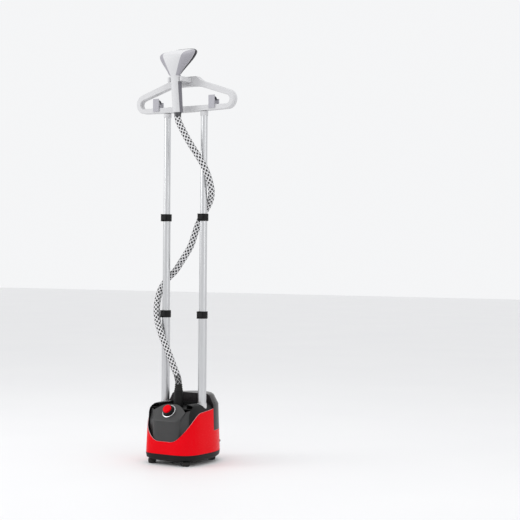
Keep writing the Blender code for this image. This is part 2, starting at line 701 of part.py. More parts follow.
def build_collar(name, x, z, outer_radius, inner_radius):
    """A clamp collar: its lower half grips the outer pole, its upper half guides the inner one."""
    half = CLAMP_HEIGHT / 2
    fixed, running = outer_radius + GAP, inner_radius + SLIDE_GAP
    chamfer = 0.0012
    collar = turned(
        name,
        [(CLAMP_RADIUS - chamfer, half), (CLAMP_RADIUS, half - chamfer), (CLAMP_RADIUS, chamfer - half),
         (CLAMP_RADIUS - chamfer, -half), (fixed, -half), (fixed, GAP), (running, GAP), (running, half)],
        BLACK, (x, 0.0, z),
    )
    low = LEVER_HEIGHT / 2 + GAP
    for sign in (-1, 1):
        z_low, z_high = sorted((sign * low, sign * (half - 0.0001)))
        ear = block(
            "ear", (x - LEVER_HALF_LENGTH, -EAR_REACH, z + z_low),
            (x + PIN_X + 0.003, EAR_ROOT - CLAMP_RADIUS, z + z_high),
            None, cutter=True,
        )
        boolean(collar, ear, "UNION")
    below, above = z - half - 0.01, z + half + 0.01
    drill(collar, PIN_RADIUS + GAP, (x + PIN_X, -PIN_REACH, below), (x + PIN_X, -PIN_REACH, above), 12)


def build_clamps():
    levels = (
        ("lower", LOWER_TOP, LOWER_RADIUS, MIDDLE_RADIUS), ("upper", MIDDLE_TOP, MIDDLE_RADIUS, UPPER_RADIUS),
    )
    first = None
    for level, z, outer, inner in levels:
        for side, sign in SIDES:
            x = sign * POLE_X
            build_collar(f"{side}_{level}_clamp", x, z, outer, inner)
            name = f"{side}_{level}_clamp_lever"
            if first:
                twin(first, name, Vector((x, -PIN_REACH, z)) - first.location)
                continue
            half, thick = LEVER_HEIGHT / 2, LEVER_THICKNESS / 2
            first = block(
                name, (x - LEVER_HALF_LENGTH, -PIN_REACH - thick, z - half),
                (x + LEVER_HALF_LENGTH, -PIN_REACH + thick, z + half), BLACK, 0.0012,
            )
            reach = CLAMP_HEIGHT / 2 - 0.001
            pin = cylinder(
                "lever_pin", PIN_RADIUS, (x + PIN_X, -PIN_REACH, z - reach), (x + PIN_X, -PIN_REACH, z + reach),
                12, cutter=True,
            )
            boolean(first, pin, "UNION")


# ---- Hanger -------------------------------------------------------------------------------------
def arc(centre, radius, start, end, steps):
    return [
        (centre[0] + radius * math.cos(math.radians(start + (end - start) * i / steps)),
         centre[1] + radius * math.sin(math.radians(start + (end - start) * i / steps)))
        for i in range(steps + 1)
    ]


def mirrored(half):
    """A whole outline from its right half, which runs from the top of the middle to the bottom."""
    return half + [(-x, y) for x, y in reversed(half) if x > 0.0001]


def build_hanger():
    outer = [(0.0, CREST_TOP), (0.052, CREST_TOP), (0.058, 1.4365), (0.065, 1.4315), (0.072, 1.4250),
             (0.080, 1.4200), (0.090, 1.4170)]
    outer += arc(HANGER_END, HANGER_END_RADIUS, 71, -90, 9) + [(0.0, HANGER_BOTTOM)]
    inner = [(0.0, 1.4020), (0.055, 1.4010), (0.075, 1.3975)]
    inner += arc(HANGER_HOLE_END, HANGER_HOLE_RADIUS, 72, -90, 7) + [(0.0, HANGER_HOLE_END[1] - HANGER_HOLE_RADIUS)]
    outlines = [mirrored(outer), mirrored(inner)]
    half = HANGER_DEPTH / 2
    upright = (math.radians(90), 0.0, 0.0)
    thickness = half - GAP / 2
    offset = (half + GAP / 2) / 2
    plate("hanger_front", outlines, thickness, LIGHT_GREY, (0, -offset, 0), upright)
    plate("hanger_back", outlines, thickness, LIGHT_GREY, (0, offset, 0), upright)
    radius = UPPER_RADIUS + GAP
    top = HANGER_BOTTOM - GAP
    for side, sign in SIDES:
        turned(
            f"{side}_hanger_socket",
            [(0.0, top), (radius + 0.0017, top), (radius + 0.0017, top - HANGER_SOCKET_HEIGHT),
             (radius, top - HANGER_SOCKET_HEIGHT), (radius, POLE_END + GAP), (0.0, POLE_END + GAP)],
            LIGHT_GREY, (sign * POLE_X, 0.0, 0.0),
        )


def build_fork():
    inner, outer, tip = FORK_HALF_GAP, FORK_HALF_GAP + 0.0125, -0.0730
    back = -HANGER_DEPTH / 2 - GAP
    half = [(0.0, back), (outer, back), (outer, tip + 0.003), (outer - 0.003, tip), (inner + 0.002, tip),
            (inner, tip + 0.003)]
    half += [(x, y) for x, y in arc((0.0, -0.0600), inner, 0, 90, 6)]
    low, high = FORK_Z
    plate("handset_fork", [mirrored(half)], high - low, LIGHT_GREY, (0, 0, (low + high) / 2))


PROFILE_TURN = Matrix(((0, 0, 1), (1, 0, 0), (0, 1, 0))).to_euler()


def build_clips():
    """Each clip is a jaw that hangs on the lower bar, and a lever with its own trunnions."""
    face, bar_top = HANGER_DEPTH / 2, HANGER_HOLE_END[1] - HANGER_HOLE_RADIUS
    bridge, lug = bar_top + 0.0005, (-0.0100, -0.0045)
    pivot = (-0.0075, bridge + 0.006)
    back = (face + 0.0005, face + 0.0033)
    jaw_profile = [
        (back[0], CLIP_BOTTOM + 0.001), (back[1], CLIP_BOTTOM + 0.001), (back[1], CLIP_TOP - 0.013),
        (back[0], CLIP_TOP - 0.013), (back[0], bridge + 0.0024), (lug[1], bridge + 0.0024),
        (lug[1], bridge + 0.0090), (lug[0], bridge + 0.0090), (lug[0], bridge), (back[0], bridge),
    ]
    front = (-face - 0.0037, -face - 0.0010)
    lever_profile = [
        (front[0], CLIP_BOTTOM), (front[1], CLIP_BOTTOM), (front[1], pivot[1] - 0.0025),
        (pivot[0] + 0.0022, pivot[1] - 0.0025), (pivot[0] + 0.0022, pivot[1] + 0.0025),
        (front[1], pivot[1] + 0.0025), (front[1] - 0.0006, CLIP_TOP), (front[0] - 0.0006, CLIP_TOP),
    ]
    jaws, levers = None, None
    for side, sign in reversed(SIDES):
        x = sign * CLIP_X
        if jaws:
            twin(jaws, f"{side}_clip_jaw", (x - CLIP_X, 0, 0))
            twin(levers, f"{side}_clip_lever", (x - CLIP_X, 0, 0))
            continue
        jaws = plate(f"{side}_clip_jaw", [jaw_profile], CLIP_WIDTH - 0.004, LILAC, (x, 0, 0), PROFILE_TURN)
        slot = block(
            "jaw_slot", (x - 0.0063, lug[0] - 0.001, bridge + 0.0024), (x + 0.0063, lug[1] + 0.001, bridge + 0.02),
            None, cutter=True,
        )
        boolean(jaws, slot)
        drill(jaws, PIN_RADIUS + GAP, (x - 0.02, *pivot), (x + 0.02, *pivot), 12)
        levers = plate(f"{side}_clip_lever", [lever_profile], CLIP_WIDTH, LILAC, (x, 0, 0), PROFILE_TURN)
        for edge in (-1, 1):
            low, high = sorted((x + edge * 0.006, x + edge * 0.02))
            relief = block(
                "lever_relief", (low, front[1], pivot[1] - 0.01), (high, 0.01, pivot[1] + 0.01), None, cutter=True
            )
            boolean(levers, relief)
        trunnion = cylinder(
            "clip_trunnion", PIN_RADIUS, (x - 0.0105, *pivot), (x + 0.0105, *pivot), 12, cutter=True
        )
        boolean(levers, trunnion, "UNION")


# ---- Handset ------------------------------------------------------------------------------------
# Sections of the handset: height, half width, back and front.
HANDSET_SECTIONS = [
    (1.3010, 0.0165, -0.0670, -0.0350), (1.3040, 0.0178, -0.0685, -0.0335), (1.3400, 0.0178, -0.0720, -0.0370),
    (1.3900, 0.0182, -0.0770, -0.0415), (1.4250, 0.0190, -0.0810, -0.0455), (1.4345, 0.0198, -0.0825, -0.0465),
    (1.4400, 0.0250, -0.0840, None), (1.4480, 0.0300, -0.0855, None), (1.4560, 0.0350, -0.0870, None),
    (1.4650, 0.0420, -0.0888, None), (1.4750, 0.0500, -0.0905, None), (1.4850, 0.0580, -0.0920, None),
    (1.4950, 0.0650, -0.0930, None), (1.5040, 0.0695, -0.0932, None), (1.5112, 0.0712, -0.0915, None),
    (1.5175, 0.0708, -0.0860, None), (1.5229, 0.0690, -0.0760, None), (1.5283, 0.0650, -0.0610, None),
    (1.5328, 0.0585, -0.0470, None), (1.5364, 0.0480, -0.0350, None), (1.5387, 0.0320, -0.0260, None),
    (1.5396, 0.0160, -0.0220, None),
]
# Half width of the steam plate at each height.
PLATE_SECTIONS = [
    (1.4440, 0.0110), (1.4500, 0.0145), (1.4580, 0.0200), (1.4700, 0.0290), (1.4840, 0.0400), (1.4970, 0.0495),
    (1.5080, 0.0560), (1.5180, 0.0600), (1.5260, 0.0612), (1.5325, 0.0580), (1.5370, 0.0500), (1.5395, 0.0360),
]


def plate_y(z):
    """Where the plane of the steam plate stands at height z."""
    (y0, z0), (y1, z1) = PLATE_LOW, PLATE_HIGH
    return y0 + (z - z0) * (y1 - y0) / (z1 - z0)


PLATE_ANGLE = math.atan2(PLATE_HIGH[1] - PLATE_LOW[1], PLATE_HIGH[0] - PLATE_LOW[0])


def plate_half_width(z):
    for (z0, w0), (z1, w1) in zip(PLATE_SECTIONS, PLATE_SECTIONS[1:]):
        if z <= z1:
            return w0 + (w1 - w0) * max((z - z0) / (z1 - z0), 0.0)
    return PLATE_SECTIONS[-1][1]


def handset_rings(count=32):
    """Sections of the shell. Those of the head narrow towards the plate, which is let into the front."""
    rings = []
    for z, half_width, back, front in HANDSET_SECTIONS:
        headed = front is None
        if headed:
            front = plate_y(z) - RIM_THICKNESS / math.sin(PLATE_ANGLE) - 2 * GAP
        middle, half_depth = (back + front) / 2, (front - back) / 2
        narrowing = 1.0 - (plate_half_width(z) + 0.0005) / half_width if headed else 0.0
        ring = []
        for i in range(count):
            angle = 2 * math.pi * i / count
            c, s = math.cos(angle), math.sin(angle)
            power = 0.42 if headed and s > 0 else 0.75
            out = math.copysign(abs(c) ** power, c) * half_width
            fore = math.copysign(abs(s) ** power, s)
            ring.append((out * (1.0 - narrowing * max(fore, 0.0)), middle + fore * half_depth, z))
        rings.append(ring)
    return rings


def fan_outline(grow):
    """Outline of the steam plate in its own plane, grown or shrunk sideways and at its ends."""
    half = [(half_width + grow, (z - PLATE_LOW[1]) / math.sin(PLATE_ANGLE)) for z, half_width in PLATE_SECTIONS]
    low, high = half[0][1], half[-1][1]
    middle = (low + high) / 2
    squeeze = ((high - low) / 2 + grow) / ((high - low) / 2)
    half = [(x, middle + (y - middle) * squeeze) for x, y in half]
    half = [(0.0, half[0][1] - 0.0018), (half[0][0] * 0.6, half[0][1] - 0.0010)] + half
    half += [(half[-1][0] * 0.5, half[-1][1] + 0.0010), (0.0, half[-1][1] + 0.0012)]
    return mirrored(half[::-1])


def build_handset():
    shell = loft("handset_shell", handset_rings(), LIGHT_GREY)
    grip = loft("handset_grip", handset_rings(), MID_GREY)
    top = FORK_Z[0] - 0.001

    def behind_seam(name, shift, upper):
        foot, head = HANDSET_Y - 0.0085 + shift, HANDSET_Y - 0.0085 + shift - HANDLE_LEAN
        rings = [
            [(-0.1, y, z), (0.1, y, z), (0.1, 0.1, z), (-0.1, 0.1, z)] for y, z in ((foot, 1.295), (head, upper))
        ]
        return loft(name, rings, None, cutter=True)

    boolean(shell, behind_seam("grip_seat", 0.0, top))
    boolean(grip, behind_seam("grip_part", GAP, top - GAP), "INTERSECT")
    foot, head = Vector((0, HANDSET_Y, HANDLE_BOTTOM)), Vector((0, HANDSET_Y - HANDLE_LEAN, 1.445))
    along = (head - foot).normalized()
    for half in (shell, grip):
        drill(half, 0.0070, foot - along * 0.02, head + along * 0.02, 12)
    pipe("steam_tube", [foot + along * 0.002, head + along * 0.012], 0.0055, RUBBER)
    turn = (PLATE_ANGLE, 0.0, 0.0)
    into = Vector((0.0, -math.sin(PLATE_ANGLE), math.cos(PLATE_ANGLE)))
    origin = Vector((0.0, PLATE_LOW[0], PLATE_LOW[1]))
    rim = [fan_outline(0.0), fan_outline(-RIM_WIDTH)]
    plate("plate_rim", rim, RIM_THICKNESS, PLATE_GREY, origin + into * (RIM_THICKNESS / 2), turn)
    holes = []
    for row, (along, count) in enumerate(((0.046, 3), (0.064, 5), (0.081, 7))):
        for i in range(count):
            x = (i - (count - 1) / 2) * 0.0125
            holes.append(arc((x, along), 0.0018, 360, 360 / 7, 6))
    outlines = [fan_outline(-RIM_WIDTH - GAP)] + holes
    plate("steam_plate", outlines, 0.0035, PLATE_GREY, origin + into * 0.0025, turn)
    radius = FERRULE_RADIUS
    top = HANDLE_BOTTOM - GAP
    turned(
        "hose_ferrule",
        [(radius, top), (radius, top - 0.004), (radius - 0.0008, top - 0.005), (radius - 0.0008, FERRULE_BOTTOM),
         (0.0055, FERRULE_BOTTOM), (0.0055, top)],
        STEEL, (0.0, HANDSET_Y, 0.0),
    )


# ---- Hose ---------------------------------------------------------------------------------------
def smooth_curve(points, per_span=24):
    """Points of a smooth curve through the given ones."""
    ends = [2 * points[0] - points[1]] + points + [2 * points[-1] - points[-2]]
    curve = []
    for a, b, c, d in zip(ends, ends[1:], ends[2:], ends[3:]):
        for i in range(per_span):
            t = i / per_span
            curve.append(0.5 * (
                2 * b + (c - a) * t + (2 * a - 5 * b + 4 * c - d) * t * t + (3 * b - a - 3 * c + d) * t * t * t
            ))
    return curve + [points[-1]]


def build_hose():
    curve = smooth_curve([Vector(point) for point in HOSE_ROUTE])
    lengths = [0.0]
    for a, b in zip(curve, curve[1:]):
        lengths.append(lengths[-1] + (b - a).length)

    def at(distance):
        for i in range(1, len(curve)):
            if lengths[i] >= distance:
                share = (distance - lengths[i - 1]) / (lengths[i] - lengths[i - 1])
                return curve[i - 1].lerp(curve[i], share)
        return curve[-1]

    def reaching(height):
        return next(run for run, point in zip(lengths, curve) if point.z >= height)

    cuts = [0.0] + [reaching(height) for height in HOSE_CUTS] + [lengths[-1]]
    stub = 0.0015
    for name, low, high in zip(("hose_lower", "hose_middle", "hose_upper"), cuts, cuts[1:]):
        low += GAP / 2
        high -= GAP / 2
        count = max(round((high - low) / HOSE_POINT_SPACING), 2)
        runs = [low, low + stub]
        runs += [low + (high - low) * i / count for i in range(1, count)]
        runs += [high - stub, high]
        points = [at(run) for run in runs]
        if name == "hose_lower":
            points[1] = points[0] + Vector((0.0, 0.0, stub))
        if name == "hose_upper":
            points[-2] = points[-1] - Vector((0.0, 0.0, stub))
        pipe(name, points, HOSE_RADIUS, BRAID)


build_pan()
build_side_cover()
build_housing()
build_fascia()
build_deck()
build_knob()
build_outlet()
build_tank()
build_bay()
build_inside()
build_poles()
build_clamps()
build_hanger()
build_fork()
build_clips()
build_handset()
build_hose()
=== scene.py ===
import json
import math

import bmesh
import bpy
from mathutils import Matrix, Vector


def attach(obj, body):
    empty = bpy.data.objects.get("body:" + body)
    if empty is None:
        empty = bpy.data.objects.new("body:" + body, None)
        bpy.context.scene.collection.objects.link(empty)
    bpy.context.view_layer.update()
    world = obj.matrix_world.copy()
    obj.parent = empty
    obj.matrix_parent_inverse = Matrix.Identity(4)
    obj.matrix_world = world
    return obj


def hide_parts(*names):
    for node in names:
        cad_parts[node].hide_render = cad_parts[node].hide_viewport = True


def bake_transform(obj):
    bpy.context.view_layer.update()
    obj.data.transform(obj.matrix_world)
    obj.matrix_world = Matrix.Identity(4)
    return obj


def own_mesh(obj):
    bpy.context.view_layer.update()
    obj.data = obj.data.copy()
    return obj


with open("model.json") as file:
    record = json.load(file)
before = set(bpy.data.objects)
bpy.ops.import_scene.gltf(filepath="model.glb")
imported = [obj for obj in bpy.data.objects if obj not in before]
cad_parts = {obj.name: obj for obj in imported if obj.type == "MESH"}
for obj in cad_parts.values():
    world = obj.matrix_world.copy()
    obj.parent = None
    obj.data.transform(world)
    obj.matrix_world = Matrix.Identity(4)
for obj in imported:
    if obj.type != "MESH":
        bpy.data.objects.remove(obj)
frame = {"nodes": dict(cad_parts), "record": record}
nodes, record = frame["nodes"], frame["record"]
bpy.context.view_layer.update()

# ---- Camera, floor and light ----
# A level camera in front and to the right of the steamer, at the height of its upper poles, over
# a plain pale floor. Two large soft lamps stand at the front left and right, and one is overhead.
POLE_LINE_Y = -0.022
SEEN_FROM = math.radians(36.0)
DISTANCE, EYE_HEIGHT = 4.875, 0.749
AIM_RIGHT = math.radians(3.3150)     # the steamer stands left of the middle of the view
AIM_UP = math.radians(0.0881)
ROLL = math.radians(0.4469)

camera = bpy.data.objects.new("camera", bpy.data.cameras.new("camera"))
camera.data.lens = 90.0
camera.data.sensor_width = 36.0
camera.matrix_world = (
    Matrix.Translation((
        DISTANCE * math.sin(SEEN_FROM), POLE_LINE_Y - DISTANCE * math.cos(SEEN_FROM), EYE_HEIGHT
    ))
    @ Matrix.Rotation(SEEN_FROM - AIM_RIGHT, 4, "Z")
    @ Matrix.Rotation(math.radians(90.0) + AIM_UP, 4, "X")
    @ Matrix.Rotation(ROLL, 4, "Z")
)
bpy.context.scene.collection.objects.link(camera)
bpy.context.scene.camera = camera

world = bpy.data.worlds.new("studio")
world.use_nodes = True
world.node_tree.nodes["Background"].inputs["Color"].default_value = (0.95, 0.955, 0.965, 1.0)
world.node_tree.nodes["Background"].inputs["Strength"].default_value = 0.96
bpy.context.scene.world = world
bpy.context.scene.view_settings.view_transform = "Standard"

for lamp_name, width, height, power, stand_at, aim in (
    ("key_lamp", 1.6, 2.2, 30.0, (-2.6, -2.4, 2.1), (0.0, 0.0, 0.8)),
    ("fill_lamp", 0.7, 2.2, 9.0, (3.4, -0.9, 1.5), (0.0, 0.0, 0.8)),
    ("top_lamp", 2.2, 2.2, 16.0, (0.3, -0.4, 3.4), (0.0, 0.0, 0.4)),
):
    lamp = bpy.data.objects.new(lamp_name, bpy.data.lights.new(lamp_name, "AREA"))
    lamp.data.shape = "RECTANGLE"
    lamp.data.size, lamp.data.size_y, lamp.data.energy = width, height, power
    lamp.location = stand_at
    lamp.rotation_euler = (Vector(stand_at) - Vector(aim)).to_track_quat("Z", "Y").to_euler()
    bpy.context.scene.collection.objects.link(lamp)


class Link:
    """One output of a material's nodes, with the arithmetic that the finishes are written in."""

    def __init__(self, tree, socket=None):
        self.tree = tree
        self.socket = socket

    def node(self, kind, values, output=0, stops=None, **settings):
        made = self.tree.nodes.new("ShaderNode" + kind)
        for key, value in settings.items():
            setattr(made, key, value)
        for index, (position, shade) in enumerate(stops or ()):
            stop = made.color_ramp.elements[index] if index < 2 else made.color_ramp.elements.new(position)
            stop.position = position
            stop.color = (shade, shade, shade, 1.0)
        for key, value in values.items():
            if isinstance(value, Link):
                self.tree.links.new(value.socket, made.inputs[key])
            else:
                made.inputs[key].default_value = value
        return Link(self.tree, made.outputs[output])

    def maths(self, operation, first, second=0.0):
        return self.node("Math", {0: first, 1: second}, operation=operation)

    def size(self):
        return self.maths("ABSOLUTE", self)

    def __add__(self, other):
        return self.maths("ADD", self, other)

    __radd__ = __add__

    def __sub__(self, other):
        return self.maths("SUBTRACT", self, other)

    def __rsub__(self, other):
        return self.maths("SUBTRACT", other, self)

    def __mul__(self, other):
        return self.maths("MULTIPLY", self, other)

    __rmul__ = __mul__

    def __gt__(self, other):
        return self.maths("GREATER_THAN", self, other)

    def wrapped(self):
        return self.maths("FRACT", self)

    def part(self, axis):
        return self.node("SeparateXYZ", {0: self}, output=axis)

    def stretched(self, x, y, z):
        return self.node("Mapping", {"Vector": self, "Scale": (x, y, z)})

    def noise(self, scale, detail=2.0):
        return self.node("TexNoise", {"Vector": self, "Scale": scale, "Detail": detail})

    def between(self, low, high):
        """A colour, from low where this is 0 to high where it is 1."""
        return self.node("Mix", {0: self, 6: (*low, 1.0), 7: (*high, 1.0)}, output=2, data_type="RGBA")


def finish(name, **even):
    """A new material, its shader, and the place on the piece that its patterns are read at."""
    material = bpy.data.materials.new(name)
    material.use_nodes = True
    shader = material.node_tree.nodes["Principled BSDF"]
    for key, value in even.items():
        shader.inputs[key.replace("_", " ")].default_value = value
    return material, shader, Link(material.node_tree).node("TexCoord", {}, output="Object")


def feed(shader, key, link):
    link.tree.links.new(link.socket, shader.inputs[key])


def grain(shader, height, depth):
    feed(shader, "Normal", height.node("Bump", {"Height": height, "Distance": depth, "Strength": 1.0}))


floor_finish, floor_shader, floor_place = finish("pale_floor", Metallic=0.0)
floor_cloud = floor_place.noise(1.3, 3.0)
feed(floor_shader, "Base Color", floor_cloud.between((0.84, 0.84, 0.85), (0.88, 0.88, 0.88)))
feed(floor_shader, "Roughness", 0.62 + floor_cloud * 0.1)
bm = bmesh.new()
bmesh.ops.create_grid(bm, x_segments=1, y_segments=1, size=22.0)
floor = bpy.data.objects.new("studio_floor", bpy.data.meshes.new("studio_floor"))
bm.to_mesh(floor.data)
bm.free()
floor.data.materials.append(floor_finish)
bpy.context.scene.collection.objects.link(floor)

# ---- Steam hose ----
# A rubber hose in a woven sleeve, light with dark checks. It climbs from the outlet on the deck,
# round behind the poles, to the handset, in three lengths so that it follows the sliding poles.
HOSE_RADIUS = 0.01225
HOSE_CUTS = (0.745, 1.155)
STRANDS, AROUND, RING_STEP = 14, 56, 0.0016
CHECKS_AROUND, CHECKS_PER_METRE = 5.0, 58.0
GUARD_LENGTH = 0.033                 # the darker stretch just above the strain relief
LIGHT_SHARE, GUARD_LIGHT_SHARE = 0.31, 0.07
HOSE_ROUTE = [
    (-0.003, -0.028, 0.2923), (-0.0055, -0.0282, 0.309), (-0.0115, -0.0295, 0.328), (-0.0225, -0.031, 0.352),
    (-0.036, -0.032, 0.382), (-0.062, -0.034, 0.437),
    (-0.084, -0.0315, 0.478), (-0.107, -0.022, 0.520), (-0.1225, -0.009, 0.560), (-0.1275, 0.004, 0.604),
    (-0.1215, 0.017, 0.645), (-0.100, 0.028, 0.682), (-0.067, 0.0325, 0.713), (-0.041, 0.034, 0.747),
    (-0.015, 0.034, 0.781), (0.006, 0.0345, 0.815), (0.034, 0.036, 0.887), (0.063, 0.0365, 0.934),
    (0.094, 0.0275, 0.974), (0.1125, 0.010, 1.008), (0.1175, -0.010, 1.046), (0.111, -0.0235, 1.084),
    (0.094, -0.033, 1.122), (0.069, -0.040, 1.160), (0.043, -0.0445, 1.199), (0.019, -0.0485, 1.240),
    (0.004, -0.0505, 1.268), (0.0, -0.051, 1.2857),
]

sleeve, sleeve_shader, place = finish("woven_sleeve", Metallic=0.0, Sheen_Weight=0.1, Specular_IOR_Level=0.2)
sleeve_map = place.node("TexCoord", {}, output="UV")
around, along = sleeve_map.part(0), sleeve_map.part(1)
one_way = (around * CHECKS_AROUND + along * CHECKS_PER_METRE).wrapped()
other_way = (around * CHECKS_AROUND - along * CHECKS_PER_METRE).wrapped()
light_share = GUARD_LIGHT_SHARE + (along > GUARD_LENGTH) * (LIGHT_SHARE - GUARD_LIGHT_SHARE)
checks = (one_way > light_share) * (other_way > light_share)
yarn = ((around * 84.0 + along * 1100.0).wrapped() > 0.5) * 0.5 + place.noise(2600.0) * 0.5
dyed = checks * (0.9 + yarn * 0.1)
feed(sleeve_shader, "Base Color", dyed.between((0.78, 0.78, 0.79), (0.004, 0.004, 0.0045)))
feed(sleeve_shader, "Roughness", 0.72 + yarn * 0.2)
grain(sleeve_shader, yarn, 0.00012)

route = [Vector((x, y + POLE_LINE_Y, z)) for x, y, z in HOSE_ROUTE]
ends = [2 * route[0] - route[1]] + route + [2 * route[-1] - route[-2]]
centres = []
for a, b, c, d in zip(ends, ends[1:], ends[2:], ends[3:]):
    for i in range(24):
        t = i / 24
        centres.append(0.5 * (
            2 * b + (c - a) * t + (2 * a - 5 * b + 4 * c - d) * t * t + (3 * b - a - 3 * c + d) * t * t * t
        ))
centres.append(route[-1])
run = [0.0]
for a, b in zip(centres, centres[1:]):
    run.append(run[-1] + (b - a).length)
cut_at = [0.0] + [next(r for r, p in zip(run, centres) if p.z >= z) for z in HOSE_CUTS] + [run[-1]]
hose_paths = []
for name, begin, finish_at in zip(("hose_lower", "hose_middle", "hose_upper"), cut_at, cut_at[1:]):
    steps = round((finish_at - begin) / RING_STEP)
    path, spot = [], 0
    for i in range(steps + 1):
        distance = begin + (finish_at - begin) * i / steps
        while spot < len(run) - 2 and run[spot + 1] < distance:
            spot += 1
        share = (distance - run[spot]) / (run[spot + 1] - run[spot])
        path.append(centres[spot].lerp(centres[spot + 1], share))
    hose_paths.append(path)
    bm = bmesh.new()
    uv = bm.loops.layers.uv.new("UVMap")
    side = Vector((1.0, 0.0, 0.0))
    rings = []
    for i, point in enumerate(path):
        ahead = (path[min(i + 1, steps)] - path[max(i - 1, 0)]).normalized()
        if (name, i) in (("hose_lower", 0), ("hose_upper", steps)):
            ahead = Vector((0.0, 0.0, 1.0))
        side = (side - ahead * side.dot(ahead)).normalized()
        other = ahead.cross(side)
        ring = []
        for k in range(AROUND):
            turn = 2 * math.pi * k / AROUND
            weave = math.cos(STRANDS * turn + i * math.pi / 4) * math.cos(STRANDS * turn - i * math.pi / 4)
            reach = HOSE_RADIUS - 0.0001 + 0.00016 * weave
            ring.append(bm.verts.new(point + (side * math.cos(turn) + other * math.sin(turn)) * reach))
        rings.append(ring)
    for i, (low, high) in enumerate(zip(rings, rings[1:])):
        for k in range(AROUND):
            face = bm.faces.new((low[k], low[(k + 1) % AROUND], high[(k + 1) % AROUND], high[k]))
            corners = ((k, i), (k + 1, i), (k + 1, i + 1), (k, i + 1))
            for loop, (u, v) in zip(face.loops, corners):
                loop[uv].uv = (u / AROUND, (begin + v * (finish_at - begin) / steps))
            face.smooth = True
    bm.faces.new(rings[0][::-1])
    bm.faces.new(rings[-1])
    hose = bpy.data.objects.new(name + "_sleeve", bpy.data.meshes.new(name + "_sleeve"))
    bm.to_mesh(hose.data)
    bm.free()
    hose.data.materials.append(sleeve)
    bpy.context.scene.collection.objects.link(hose)
    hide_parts(name)
    line = path[::6] + ([path[-1]] if steps % 6 else [])
    finish_at - begin
    if name == "hose_lower":
        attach(hose, "base")
        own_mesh(hose)
    elif name == "hose_middle":
        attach(hose, "middle_stage")
        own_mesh(hose)
    else:
        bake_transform(hose)

# ---- Base shell ----
# Injection-moulded: a shallow pan under a hollow housing, both black with a fine spark-eroded
# grain, and a charcoal control panel. The outer edges are eased so that they catch the light.
body_of = {n: body for body, members in record["behaviour"]["bodies"].items() for n in members}


def shown(name, material, ease=0.0, sharp=38.0, segments=2):
    """The finished look of one CAD node: its surface welded, its sharp edges eased, and dressed."""
    bm = bmesh.new()
    bm.from_mesh(nodes[name].data)
    bmesh.ops.remove_doubles(bm, verts=bm.verts, dist=2e-6)
    bmesh.ops.dissolve_limit(
        bm, angle_limit=math.radians(0.6), use_dissolve_boundaries=False, verts=bm.verts, edges=bm.edges
    )
    if ease:
        corners = [
            e for e in bm.edges if len(e.link_faces) == 2 and e.calc_face_angle() > math.radians(sharp)
        ]
        bmesh.ops.bevel(
            bm, geom=corners, offset=ease, offset_type="OFFSET", segments=segments, profile=0.5,
            affect="EDGES", clamp_overlap=True, material=-1,
        )
    for edge in bm.edges:
        edge.smooth = len(edge.link_faces) == 2 and edge.calc_face_angle() < math.radians(sharp)
    for face in bm.faces:
        face.smooth = True
    piece = bpy.data.objects.new(name + "_piece", bpy.data.meshes.new(name + "_piece"))
    bm.to_mesh(piece.data)
    bm.free()
    piece.data.materials.append(material)
    bpy.context.scene.collection.objects.link(piece)
    weighted = piece.modifiers.new("even_shading", "WEIGHTED_NORMAL")
    weighted.keep_sharp = True
    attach(piece, body_of[name])
    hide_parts(name)
    return piece


black, black_shader, place = finish("grained_black_plastic", Specular_IOR_Level=0.2)
blotch = place.noise(38.0, 3.0)
sparkle = place.noise(2300.0, 2.0)
feed(black_shader, "Base Color", blotch.between((0.004, 0.004, 0.0043), (0.008, 0.008, 0.0084)))
feed(black_shader, "Roughness", 0.38 + blotch * 0.12 + sparkle * 0.08)
grain(black_shader, sparkle, 0.00006)
for name in ("bottom_pan", "main_housing", "tank_bay"):
    shown(name, black, ease=0.0006)
for name in ("top_deck", "hose_outlet", "drain_plug"):
    shown(name, black, ease=0.0005)
charcoal, charcoal_shader, place = finish("satin_charcoal_plastic", Specular_IOR_Level=0.45)
blotch = place.noise(38.0, 3.0)
sparkle = place.noise(2300.0, 2.0)
feed(charcoal_shader, "Base Color", blotch.between((0.026, 0.026, 0.0265), (0.038, 0.038, 0.0385)))
feed(charcoal_shader, "Roughness", 0.34 + blotch * 0.12 + sparkle * 0.08)
grain(charcoal_shader, sparkle, 0.00006)
shown("control_fascia", charcoal, ease=0.0005)

# ---- Feet, strain relief and cord inlet ----
# Moulded rubber, dull and faintly dusty where hands and floors rub it.
rubber, rubber_shader, place = finish("dull_rubber", Specular_IOR_Level=0.3)
dust = place.noise(120.0, 4.0)
feed(rubber_shader, "Base Color", dust.between((0.010, 0.010, 0.010), (0.030, 0.029, 0.028)))
feed(rubber_shader, "Roughness", 0.72 + dust * 0.2)
grain(rubber_shader, place.noise(1500.0), 0.00005)
for name in (
    "front_left_foot", "front_right_foot", "rear_left_foot", "rear_right_foot",
    "hose_strain_relief", "cord_inlet", "steam_pipe", "feed_pipe", "steam_tube",
):
    shown(name, rubber, ease=0.0005)

# ---- Side cover ----
# One glossy red moulding that wraps the base and dips at the front to bare the control panel. Its upward rim
# faces carry a pale pink painted highlight.
red, red_shader, place = finish(
    "glossy_red_plastic", Coat_Roughness=0.12, Coat_IOR=1.4, Specular_IOR_Level=0.05
)
swirl = place.noise(9.0, 2.0)
feed(red_shader, "Base Color", swirl.between((0.72, 0.0003, 0.005), (0.80, 0.0006, 0.008)))
feed(red_shader, "Roughness", 0.20 + place.noise(210.0, 4.0) * 0.12)
feed(red_shader, "Coat Weight", 0.02 + swirl * 0.05)
grain(red_shader, place.noise(160.0, 1.0), 0.00003)
cover = shown("side_cover", red, ease=0.0009, segments=3)
